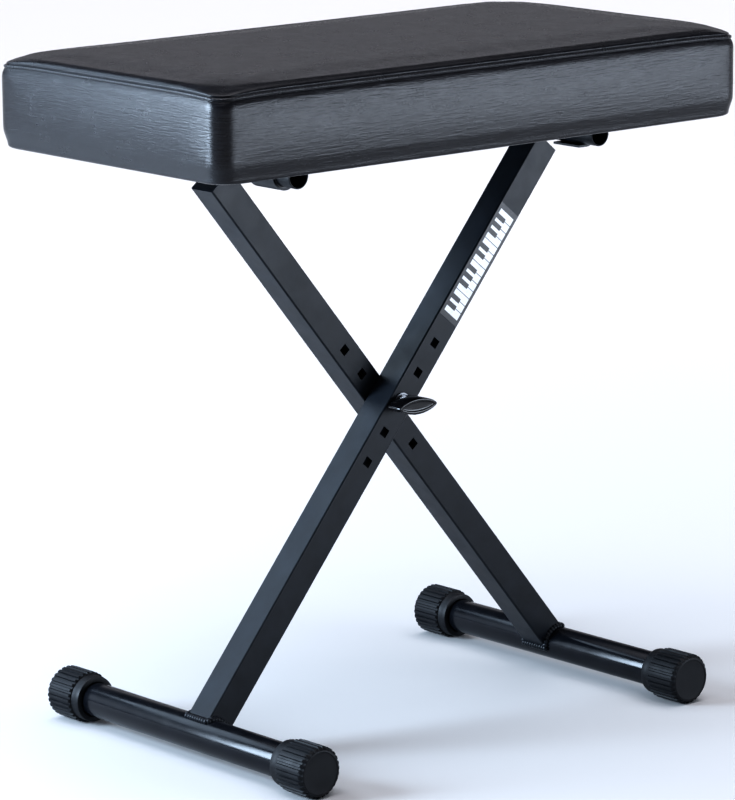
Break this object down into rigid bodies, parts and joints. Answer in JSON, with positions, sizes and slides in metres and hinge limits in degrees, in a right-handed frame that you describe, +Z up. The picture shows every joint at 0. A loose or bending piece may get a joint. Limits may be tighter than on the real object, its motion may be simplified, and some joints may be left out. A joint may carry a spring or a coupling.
{
  "type": "piano bench",
  "caption": "Folding keyboard bench with a padded leatherette seat on a crossed frame of square legs, round foot tubes and ribbed end caps.",
  "frame": {"origin": "on the floor under the middle of the seat", "axes": "+X along the seat towards the foot that slides, +Y across the seat away from the knob, +Z up"},
  "size_m": [0.6156, 0.363, 0.6225],
  "materials": {
    "vinyl": "fine-grained leatherette, satin",
    "foam": "open-cell foam",
    "plywood": "raw birch plywood",
    "felt": "black non-woven cloth",
    "zinc": "zinc plated",
    "nylon": "black nylon",
    "brass": "turned",
    "gloss_plastic": "moulded gloss",
    "label": "printed sticker",
    "black_rubber": "moulded matte",
    "gloss_paint": "gloss black powder coat",
    "satin_paint": "satin black powder coat"
  },
  "bodies": {
    "left_feet": {"foot_cap_left_front": "black_rubber", "foot_cap_left_rear": "black_rubber"},
    "front_leg": {"front_leg_tube": "satin_paint", "foot_tube_left": "gloss_paint", "cross_tube_right": "satin_paint", "front_leg_plug": "black_rubber", "front_leg_welds": "satin_paint", "leg_label": "label"},
    "rear_leg": {"rear_leg_tube": "satin_paint", "foot_tube_right": "gloss_paint", "cross_tube_left": "satin_paint", "rear_leg_plug": "black_rubber", "rear_leg_welds": "satin_paint", "pivot_bolt": "zinc", "pivot_washer": "nylon", "foot_cap_right_front": "black_rubber", "foot_cap_right_rear": "black_rubber"},
    "seat": {"seat_board": "plywood", "seat_foam": "foam", "cover_top_panel": "vinyl", "cover_side_band": "vinyl", "cover_welt": "vinyl", "cover_hem": "vinyl", "hem_staples": "zinc", "dust_cover": "felt", "dust_cover_staples": "zinc", "saddle_left_front": "satin_paint", "saddle_left_rear": "satin_paint", "saddle_liners": "nylon", "hook_right_front": "satin_paint", "hook_right_rear": "satin_paint", "bracket_screws": "zinc", "tee_nuts": "zinc"},
    "knob": {"knob_body": "gloss_plastic", "knob_insert": "brass", "knob_washer": "zinc"}
  },
  "joints": [
    {"name": "left_foot_turn", "type": "hinge", "parent": "left_feet", "child": "front_leg", "pos_m": [-0.22425, 0, 0.0235], "axis": [0, 1, 0], "range_deg": [-32, 0]},
    {"name": "scissor", "type": "hinge", "parent": "front_leg", "child": "rear_leg", "pos_m": [0, 0, 0.29482], "axis": [0, 1, 0], "range_deg": [0, 64]},
    {"name": "seat_turn", "type": "hinge", "parent": "rear_leg", "child": "seat", "pos_m": [-0.17861, 0, 0.52914], "axis": [0, 1, 0], "range_deg": [-32, 0]},
    {"name": "knob_turn", "type": "hinge", "parent": "rear_leg", "child": "knob", "pos_m": [0, 0, 0.29482], "axis": [0, -1, 0], "continuous": true}
  ],
  "couplings": [
    {"joint": "left_foot_turn", "follows": "scissor", "ratio": -0.5},
    {"joint": "seat_turn", "follows": "scissor", "ratio": -0.5}
  ]
}
